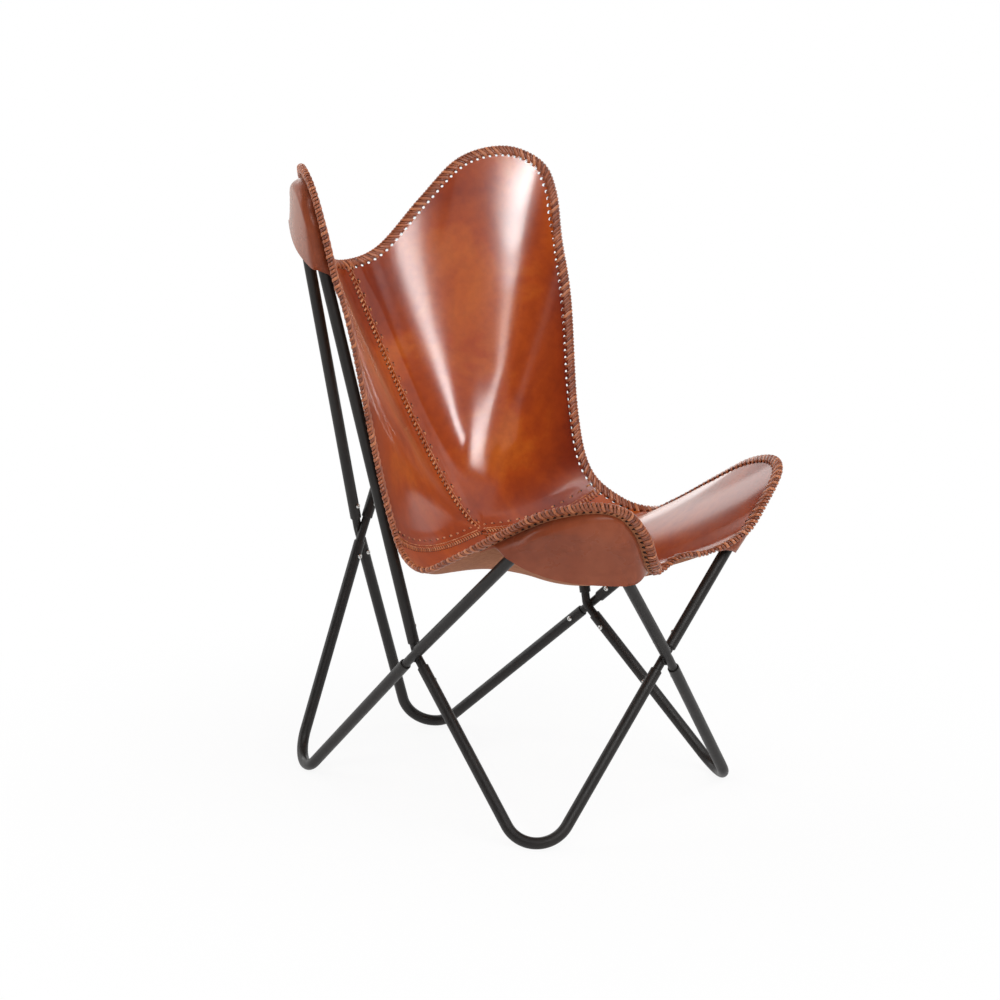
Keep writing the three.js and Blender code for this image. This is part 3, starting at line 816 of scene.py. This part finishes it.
class Sheet:
    """A sheet's points and faces, built up row by row, then thickened to a closed solid."""

    def __init__(self):
        self.points = []
        self.normals = []
        self.from_edge = []
        self.faces = []
        self.count = 0
        self.rim_from = None

    def add_points(self, points, normals, from_edge=0.0):
        """Adds a row of points, some millimetres from the sheet's edge, and returns their indices."""
        indices = np.arange(self.count, self.count + len(points))
        self.points.append(points)
        self.normals.append(normals)
        self.from_edge.append(np.broadcast_to(from_edge, len(points)))
        self.count += len(points)
        return indices

    def bridge(self, first, second):
        for k in range(len(first) - 1):
            self.faces.append((first[k], first[k + 1], second[k + 1], second[k]))

    def holed_cells(self, inner, middle, outer, hole_points, hole_normals):
        """Cells two columns wide between the inner and outer rows, each with an eight-sided hole."""
        for cell in range(len(middle) - 1):
            left = 2 * cell
            rim = (inner[left], inner[left + 1], inner[left + 2], middle[cell + 1], outer[left + 2],
                   outer[left + 1], outer[left], middle[cell])
            hole = self.add_points(hole_points[cell], hole_normals[cell])
            for k in range(len(rim)):
                after = (k + 1) % len(rim)
                self.faces.append((rim[k], rim[after], hole[after], hole[k]))

    def painted_shade(self):
        """How dark each point's painted shade is: it weakens away from the edge, and up the lobes."""
        start, end = PAINTED_SHADE_FADE
        height_share = smootherstep((end - np.vstack(self.points)[:, 2]) / (end - start))
        return np.exp(-np.concatenate(self.from_edge) / PAINTED_SHADE_REACH) * height_share

    def area(self):
        points = np.vstack(self.points)
        corners = points[np.array(self.faces)]
        crossed = np.cross(corners[:, 2] - corners[:, 0], corners[:, 3] - corners[:, 1])
        return np.sum(np.linalg.norm(crossed, axis=1)) / 2

    def solid(self, thickness):
        """The closed solid, and the finish of its faces: 0 top, 1 underside, 2 rim and cut edges, the rim's
        dark finish being painted shade under the lacing.
        """
        points = np.vstack(self.points)
        normals = np.vstack(self.normals)
        top = [tuple(int(index) for index in face) for face in self.faces]
        total = len(points)
        bottom = [tuple(index + total for index in face[::-1]) for face in top]
        edges = {edge for face in top for edge in zip(face, face[1:] + face[:1])}
        rim = [(start, end) for start, end in edges if (end, start) not in edges]
        walls = [(end, start, start + total, end + total) for start, end in rim]
        solid_points = np.vstack([points + normals * thickness / 2, points - normals * thickness / 2])
        finish = np.full(2 * len(top) + len(walls), 2)
        finish[:self.rim_from] = 0
        finish[len(top):len(top) + len(top[:self.rim_from])] = 1
        return (solid_points, facing_out(solid_points, top + bottom + walls)), finish


class EdgeStrip:
    """Places beside one stretch of the sling's edge, in columns half a lacing pitch apart."""

    def __init__(self, first_place, last_place):
        self.start = length_at(first_place)
        self.end = length_at(last_place)
        self.cells = round((self.end - self.start) / LACE_PITCH)
        self.pitch = (self.end - self.start) / self.cells
        self.columns = np.linspace(0, self.cells, 2 * self.cells + 1)

    def column_at(self, place):
        return (length_at(place) - self.start) / self.pitch

    def parameters(self, column, depth):
        """Share and place at a column (in pitches) and a depth from the edge (in millimetres)."""
        column = np.asarray(column, float)
        place = place_at(self.start + column * self.pitch)
        share_step, place_step = edge_steps(place)
        seam_pull = 4
        from_end = np.minimum(column, self.cells - column) / seam_pull
        return 1 + share_step * depth, place + place_step * depth * smoothstep(from_end)

    def points(self, column, depth, height=0.0):
        share, place = self.parameters(column, depth)
        normals = sling_normal(share, place)
        return sling_point(share, place) + normals * height, normals

    def hole_columns(self, first_cell, last_cell):
        """Columns of the holes' middles, each halfway along its cell, as rows."""
        return np.arange(first_cell, last_cell)[:, None] + 0.5

    def holes(self, first_cell, last_cell):
        """Columns and depths of the hole rims of a run of cells."""
        middles = self.hole_columns(first_cell, last_cell)
        columns = middles + HOLE_LONG_RADIUS / self.pitch * np.cos(HOLE_ANGLES)
        return columns, HOLE_FROM_EDGE - HOLE_RADIUS * np.sin(HOLE_ANGLES)

    def edge_frames(self, column):
        """Edge points, normals and inward directions; columns may run on past the strip's ends."""
        place = place_at((self.start + column * self.pitch) % ring_lengths[-1])
        outwards, sideways, _, square = edge_slopes(place)
        return outline_point(place), unit(np.cross(sideways, outwards)), -unit(square)


def lap_heights(row_points, starts, ends):
    """How far the doubled leather beside a seam stands up, for one row of a panel."""
    steps = running_length(row_points)
    heights = np.zeros(len(row_points))
    for lapped, distance in ((starts, steps), (ends, steps[-1] - steps)):
        if lapped:
            heights = np.maximum(heights, LAP_HEIGHT * (1 - smoothstep((distance - LAP_WIDTH) / LAP_FADE)))
    return heights[:, None]


def sling_panel(strip, laps):
    """A quarter of the sling, with a row of lacing holes along its outer edge."""
    sheet = Sheet()
    columns = strip.columns
    inner_share, inner_place = strip.parameters(columns, HOLE_ROW_INNER)
    edge_place = place_at(strip.start + columns * strip.pitch)
    cross_radius = 1.2
    first_share = PROBE * cross_radius / np.linalg.norm(sling_point(PROBE, edge_place) - SEAM_CROSS, axis=-1)
    steps = 40
    lap_fade_from = 0.9
    previous = None
    for step in range(steps + 1):
        way = step / steps
        share = first_share + (inner_share - first_share) * way
        place = edge_place + (inner_place - edge_place) * way ** 2
        points = sling_point(share, place)
        normals = sling_normal(share, place)
        fade = 1 - smoothstep((way - lap_fade_from) / (1 - lap_fade_from))
        from_edge = np.linalg.norm(outline_point(place) - points, axis=-1)
        row = sheet.add_points(points + normals * lap_heights(points, *laps) * fade, normals, from_edge)
        if previous is not None:
            sheet.bridge(previous, row)
        previous = row
    middle = sheet.add_points(*strip.points(columns[::2], HOLE_FROM_EDGE))
    outer = sheet.add_points(*strip.points(columns, HOLE_ROW_OUTER))
    edge = sheet.add_points(*strip.points(columns, 0.0))
    sheet.holed_cells(previous, middle, outer, *strip.points(*strip.holes(0, strip.cells)))
    # The strip under the lacing takes the dark edge colour, as painted shade between the strands
    sheet.rim_from = len(sheet.faces)
    sheet.bridge(outer, edge)
    return sheet


def pocket_layer(columns, pocket_columns):
    """How much thicker a panel's edge is where a pocket is laced behind it, fading at the pocket's ends."""
    first, last = pocket_columns
    share = smoothstep((columns - first) + 0.5) * smoothstep((last - columns) + 0.5)
    return share * (POCKET_LEATHER + POCKET_GAP)


def lace_stitches(strip, strand, pocket_columns):
    """All stitches of one strand along a panel's edge."""
    shifts, depths, heights, lean = STITCH.T
    columns = strip.hole_columns(0, strip.cells) + strand.shift + shifts
    depths = np.minimum(depths, strand.reach)[:, None]
    behind = smoothstep((lean - STITCH_BACK_FROM) / STITCH_BACK_FADE)
    heights = heights - strand.sink * np.sign(heights) - pocket_layer(columns, pocket_columns) * behind
    edges, normals, inwards = strip.edge_frames(columns)
    angles = (lean * math.pi)[:, None]
    paths = edges + inwards * depths + normals * heights[..., None]
    ups = normals * np.cos(angles) - inwards * np.sin(angles)
    face_width, back_width = strand.widths
    return ribbons(paths, ups, face_width + (back_width - face_width) * lean, LACE_THICKNESS)


def lace_slits(strip, pocket_columns):
    """Dark discs on the back, painted shade for the slits where the lace has pulled its holes long."""
    angles = full_turn(PLUG_SIDES)
    columns = strip.hole_columns(0, strip.cells) + SLIT_LONG_RADIUS / strip.pitch * np.cos(angles)
    depths = HOLE_FROM_EDGE - HOLE_RADIUS + SLIT_SHORT_RADIUS * np.sin(angles)
    surface = -LEATHER / 2 - pocket_layer(columns, pocket_columns)
    rings = [strip.points(columns, depths, (surface + rise)[..., None])[0]
             for rise in (PLUG_DEPTH, -PLUG_RISE)]
    return loft(np.stack(rings, axis=1))


def edge_lacing(strip, pocket_columns):
    """Two strands of lace round a panel's edge: a bright one from hole to hole, a sunk one between, whose
    darker colour is painted shade.
    """
    strands = [lace_stitches(strip, strand, pocket_columns) for strand in (BRIGHT_STRAND, SHADED_STRAND)]
    finish = np.repeat((0, 1), [len(faces) for _, faces in strands])
    return join_meshes(strands), finish


def beside_loop(loop, level):
    """Directions off a loop's centre line within its plane, and how far along them the points lie."""
    angle = np.clip(np.arctan2(level[:, 0], level[:, 1]), -loop.bend.span, loop.bend.span)
    away = np.stack([np.sin(angle), np.cos(angle)], axis=-1)
    return away, dot(level, away) - loop.bend.radius


def clear_of_tube(loop, level, depth):
    """Points behind a lobe, moved off its loop's tube where they would be closer than a pocket can lie."""
    away, distance = beside_loop(loop, level)
    grow = np.maximum(1, POCKET_BEHIND_LOOP / np.hypot(distance, depth))
    return from_loop(loop, np.hstack([level + away * distance * (grow - 1), depth * grow]))


def pocket_mouth(ends, shape, out):
    """A pocket's mouth in its loop's plane: the share of the way between its ends, and its height."""
    width = ends[1, 0] - ends[0, 0]
    share = np.clip((out - ends[0, 0]) / width, 0, 1)
    outer_share = (2 * share - 1) * np.sign(width)
    sag = shape.sag * np.sin(math.pi * share) ** POCKET_MOUTH_POWER * (1 + shape.lean * outer_share)
    return share, ends[0, 1] + (ends[1, 1] - ends[0, 1]) * share - POCKET_HEM - sag


def pocket_sheet(strip, loop, cells, mouth_columns, shape):
    """A pocket: laced flush behind the lobe, round the outside of its loop, then down to its mouth."""
    first, last = cells
    columns = strip.columns[2 * first:2 * last + 1]
    behind_panel = -(LEATHER / 2 + POCKET_GAP + POCKET_LEATHER / 2)
    sheet = Sheet()
    edge = sheet.add_points(*strip.points(columns, POCKET_EDGE_INSET, behind_panel))
    outer = sheet.add_points(*strip.points(columns, HOLE_ROW_OUTER, behind_panel))
    middle = sheet.add_points(*strip.points(columns[::2], HOLE_FROM_EDGE, behind_panel))
    flush_points, flush_normals = strip.points(columns, HOLE_ROW_INNER, behind_panel)

    flush = to_loop(loop, flush_points)
    level, depth = flush[:, :2], flush[:, 2:]
    away, distance = beside_loop(loop, level)
    behind = level + away * (POCKET_WRAP_END - distance)
    ends = to_loop(loop, strip.points(mouth_columns, 0.0, behind_panel)[0])
    least_drop = 2.5
    flat_tip = 0.4
    start_over = np.maximum(least_drop, level[:, 1:] - pocket_mouth(ends, shape, level[:, :1])[1])
    share, mouth_height = pocket_mouth(ends, shape, behind[:, :1])
    behind_over = behind[:, 1:] - mouth_height
    cut = np.where(behind_over < 0, start_over / (start_over - np.minimum(behind_over, 0)), 1)
    last_angle = np.arccos(1 - cut)
    turn_back = (depth + POCKET_BEHIND_LOOP) * smoothstep(cut / flat_tip)
    wrap = last_angle * np.hypot(distance - POCKET_WRAP_END, turn_back) / math.sqrt(2)
    hang = np.maximum(behind_over, 0)
    rows = [flush_points]
    row_count = 24
    for step in range(1, row_count + 1):
        travelled = (wrap + hang) * step / row_count
        angle = last_angle * np.minimum(1, travelled / wrap)
        fallen = np.maximum(0, travelled - wrap)
        flare = shape.flare * np.sin(math.pi * share) * fallen / np.maximum(hang, PROBE)
        place = behind + (level - behind) * np.cos(angle) - fallen * (0, 1)
        rows.append(clear_of_tube(loop, place, depth - turn_back * np.sin(angle) - flare))
    grid = np.array(rows)
    normals = unit(np.cross(np.gradient(grid, axis=1), np.gradient(grid, axis=0)))
    normals *= np.sign(np.sum(normals[0] * flush_normals))
    normals[0] = flush_normals
    indices = [sheet.add_points(points, row_normals) for points, row_normals in zip(grid, normals)]
    for upper, lower in zip(indices, indices[1:]):
        sheet.bridge(lower, upper)
    sheet.holed_cells(indices[0], middle, outer, *strip.points(*strip.holes(first, last), behind_panel))
    sheet.bridge(outer, edge)
    sheet.rim_from = len(sheet.faces)
    return sheet


class Seam:
    """A line of the sling from the seam cross to the edge, and places beside it."""

    def __init__(self, place, lap_side):
        self.place = place
        self.lap_side = lap_side
        self.shares = np.linspace(0, 1, SEAM_SAMPLES)
        self.lengths = running_length(sling_point(self.shares, np.full(SEAM_SAMPLES, float(place))))
        self.length = self.lengths[-1] - HOLE_FROM_EDGE

    def frames(self, length, across, height):
        """Points and normals at lengths from the cross, beside the seam and over the leather's face."""
        share = np.interp(length, self.lengths, self.shares)
        place = np.full(share.shape, float(self.place))
        sideways = np.linalg.norm(sling_slopes(share, place)[1], axis=-1)
        place = place + self.lap_side * across / sideways
        normals = sling_normal(share, place)
        lift = np.broadcast_to(LEATHER / 2 + height, share.shape)[..., None]
        return sling_point(share, place) + normals * lift, normals


def seam_stitches(seam, starts, run, across, lift, width):
    """Short straps from start to start + run along a seam, moving across it."""
    sideways = across[0] + (across[1] - across[0]) * STITCH_WAY
    paths, ups = seam.frames(starts[:, None] + run * STITCH_WAY, sideways, lift + STITCH_ARCH)
    return ribbons(paths, ups, width, SEAM_LACE_THICKNESS)


def hole_plugs(seam, starts, across, lift, radius):
    """Small dark discs, painted shade for the holes, sunk in the leather where a stitch goes through it."""
    angles = full_turn(PLUG_SIDES)
    lengths = starts[:, None] + radius * np.cos(angles)
    sideways = across + radius * np.sin(angles)
    rings = [seam.frames(lengths, sideways, height)[0] for height in (lift - PLUG_DEPTH, lift + PLUG_RISE)]
    return loft(np.stack(rings, axis=1))


# Panels: the stretch of the outline that each one has, and whether it is lapped at its first and last seam
PANELS = {
    "back_panel_right": SimpleNamespace(range=(0, RIGHT_SEAM_AT), laps=(True, True)),
    "seat_panel_right": SimpleNamespace(range=(RIGHT_SEAM_AT, FRONT_NOTCH_AT), laps=(False, False)),
    "seat_panel_left": SimpleNamespace(range=(FRONT_NOTCH_AT, LEFT_SEAM_AT), laps=(False, False)),
    "back_panel_left": SimpleNamespace(range=(LEFT_SEAM_AT, OUTLINE_COUNT), laps=(True, False)),
}


def lobe_columns(strip, shares, lobe_at, lobe_points, side):
    """Two shares of a lobe's outline as columns of its strip, in the strip's order."""
    places = [lobe_at + share * (lobe_points - 1) for share in shares]
    if side == "left":
        places = [OUTLINE_COUNT - place for place in places[::-1]]
    return strip.column_at(np.array(places))


for node, panel in PANELS.items():
    part, _, side = node.split("_")
    strip = EdgeStrip(*panel.range)
    shape = REAR_POCKET if part == "back" else FRONT_POCKET
    lobe = (REAR_LOBE_AT, len(REAR_LOBE)) if part == "back" else (FRONT_LOBE_AT, len(FRONT_LOBE))
    cells = np.round(lobe_columns(strip, shape.laced, *lobe, side)).astype(int)

    sheet = sling_panel(strip, panel.laps)
    solid, finish = sheet.solid(LEATHER)
    leather = add_piece(f"{part}_leather_{side}", solid, [cognac, tan_suede, cut_edge_and_rim_shade], finish)
    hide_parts(node)
    # Painted shade near the back's edges, kept per point for the leather's colour
    if part == "back":
        painted_shade = leather.data.attributes.new(PAINTED_SHADE, "FLOAT", "POINT")
        painted_shade.data.foreach_set("value", np.tile(sheet.painted_shade(), 2))

    lacing, strands = edge_lacing(strip, cells)
    lace = add_piece(f"{part}_lacing_{side}", lacing, [bright_lace, shaded_lace], strands)
    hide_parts(f"{part}_lace_{side}")

    if part == "seat":
        add_piece(f"lacing_slit_shade_{side}", lace_slits(strip, cells), [painted_hole_shade])

    loop = loops[f"top_{shape.end}_{side}"]
    pocket = pocket_sheet(strip, loop, cells, lobe_columns(strip, shape.mouth, *lobe, side), shape)
    solid, finish = pocket.solid(POCKET_LEATHER)
    pocket_finish = [pocket_grain, tan_suede, cut_edge_and_rim_shade]
    pocket_piece = add_piece(f"{shape.end}_pocket_{side}", solid, pocket_finish, finish)
    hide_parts(f"pocket_{shape.end}_{side}")

    tube = f"top_tube_{shape.end}_{side}"
    sheet.area() * MM * MM
    pocket.area() * MM * MM

# Seams: where each one meets the outline, and the side on which it is lapped
SEAMS = {
    "back_middle": Seam(0, 1),
    "seat_middle": Seam(FRONT_NOTCH_AT, -1),
    "side_right": Seam(RIGHT_SEAM_AT, -1),
    "side_left": Seam(LEFT_SEAM_AT, 1),
}
for name, seam in SEAMS.items():
    sewing = MIDDLE_SEAM if name.endswith("middle") else SIDE_SEAM
    pitch = sewing.pitch
    inner, outer = sewing.band
    starts = np.arange(SLANT.first, seam.length, pitch)
    threads = starts + THREAD.start * pitch
    beside = [outer + THREAD.aside] * 2
    holes = starts - SLANT.hole_back * pitch
    strands = [seam_stitches(seam, starts, SLANT.run * pitch, sewing.band, LAP_HEIGHT / 2, SLANT.width),
               seam_stitches(seam, threads, THREAD.run * pitch, beside, LAP_HEIGHT, THREAD.width)]
    plugs = [hole_plugs(seam, holes, inner - SLANT.hole_aside, 0, SLANT.hole_radius)]
    if name != "seat_middle":
        across = sewing.tack_across
        tacks = np.arange(TACK.first, seam.length, sewing.tack_pitch)
        strands.append(seam_stitches(seam, tacks, TACK.length, [across] * 2, LAP_HEIGHT, TACK.width))
        plugs.append(hole_plugs(seam, tacks + TACK.hole_ahead, across, LAP_HEIGHT, TACK.hole_radius))
    add_piece(f"seam_stitches_{name}", join_meshes(strands), [seam_lace])
    add_piece(f"seam_hole_shade_{name}", join_meshes(plugs), [painted_hole_shade])


# Floor, light and camera

def seen_rays(look, mirrored_share=1):
    """1 for a ray that should meet the white background: from the camera, or a share of mirrored ones."""
    rays = look.add("LightPath", {})
    mirrored = look.maths("MAXIMUM", rays["Is Glossy Ray"], rays["Is Transmission Ray"])
    return look.maths("MAXIMUM", rays["Is Camera Ray"], look.maths("MULTIPLY", mirrored, mirrored_share))


def floor_material():
    """A white floor that keeps a faint shadow under the chair and fades to the background round it."""
    look = Look(new_material("white_floor", Roughness=1.0, Base_Color=FLOOR_COLOUR, Specular_IOR_Level=0.0))
    distance = look.add("VectorMath", {0: look.coordinates["Object"]}, operation="LENGTH")["Value"]
    share = look.maths("MULTIPLY", seen_rays(look), look.map_range(distance, FLOOR_FADE, FLOOR_WHITE))
    white = look.add("Emission", {"Color": WHITE, "Strength": 1})[0]
    look.white_where("Material Output", share, look.tree.nodes["Principled BSDF"].outputs[0], white)
    return look.owner


def add_floor():
    corners = np.array(((-1, -1, 0), (1, -1, 0), (1, 1, 0), (-1, 1, 0))) * FLOOR_REACH
    floor = add_mesh("floor", corners, [(0, 1, 2, 3)], [floor_material()])


def set_world():
    """A plain soft light, white where the camera looks past the object and low down in reflections."""
    world = bpy.data.worlds.new("studio")
    bpy.context.scene.world = world
    world.use_nodes = True
    look = Look(world)
    height = look.add("SeparateXYZ", {0: look.coordinates["Generated"]})["Z"]
    backdrop = look.map_range(height, LOW_LIGHT_END, (1, 0))
    level = look.maths("MULTIPLY_ADD", backdrop, LOW_LIGHT - CEILING_LIGHT, CEILING_LIGHT)
    soft = look.tree.nodes["Background"]
    look.feed(soft.inputs["Color"], WHITE)
    look.feed(soft.inputs["Strength"], level)
    white = look.add("Background", {"Color": WHITE, "Strength": 1})[0]
    look.white_where("World Output", seen_rays(look, backdrop), soft.outputs[0], white)


def direction(azimuth, elevation):
    """A unit vector from degrees, 0 in front of the chair and to its right positive."""
    turn = math.radians(azimuth)
    rise = math.radians(elevation)
    return np.array((math.sin(turn) * math.cos(rise), -math.cos(turn) * math.cos(rise), math.sin(rise)))


def add_lamp(name, away, along, spread, radiance):
    """A far area lamp; its spread is the width and height, in degrees, that it has as seen from the chair."""
    data = bpy.data.lights.new(name, "AREA")
    data.shape = "RECTANGLE"
    data.size, data.size_y = (2 * LAMP_DISTANCE * math.tan(math.radians(angle) / 2) for angle in spread)
    data.energy = math.pi * radiance * data.size * data.size_y
    lamp = place_object(name, data)
    lamp.location = Vector(TARGET) * MM + Vector(away) * LAMP_DISTANCE
    lamp.rotation_euler = Matrix((along, np.cross(away, along), away)).transposed().to_euler()
    lamp.visible_camera = False


def add_box(name, azimuth, elevation, spread, radiance):
    """A soft box: lamps inside one another, so that it dims towards its edges."""
    away = direction(azimuth, elevation)
    along = direction(azimuth + 90, 0)
    for step in range(1, SOFT_BOX_STEPS + 1):
        shrunk = [angle * (step / SOFT_BOX_STEPS) for angle in spread]
        add_lamp(f"{name}_{step}", away, along, shrunk, radiance / SOFT_BOX_STEPS)


def add_bank(name, bank):
    """A row of strip lamps, end to end, along a curve of directions."""
    bank_azimuths, bank_elevations, bank_radiances = zip(*bank)
    azimuths = np.linspace(bank_azimuths[0], bank_azimuths[-1], BANK_LAMPS + 1)
    corners = [direction(azimuth, np.interp(azimuth, bank_azimuths, bank_elevations)) for azimuth in azimuths]
    radiances = np.interp((azimuths[:-1] + azimuths[1:]) / 2, bank_azimuths, bank_radiances)
    for index, (start, end) in enumerate(zip(corners, corners[1:])):
        width = math.degrees(math.acos(start @ end))
        along = unit(end - start)
        add_lamp(f"{name}_{index}", unit(start + end), along, (width, BANK_SPREAD), float(radiances[index]))


def add_camera():
    back = Vector(direction(CAMERA.azimuth, CAMERA.elevation))
    data = bpy.data.cameras.new("camera")
    data.lens = CAMERA.lens
    data.sensor_width = CAMERA.sensor
    data.sensor_fit = "HORIZONTAL"
    data.clip_end = CAMERA.sight
    camera = place_object("camera", data)
    camera.location = (Vector(TARGET) + back * CAMERA.distance) * MM
    camera.rotation_euler = (-back).to_track_quat("-Z", "Y").to_euler()
    bpy.context.scene.camera = camera


add_floor()
set_world()
for name, bank in BANKS.items():
    add_bank(name, bank)
for name, box in SOFT_BOXES.items():
    add_box(name, *box)
add_camera()
bpy.context.scene.view_settings.view_transform = "Standard"
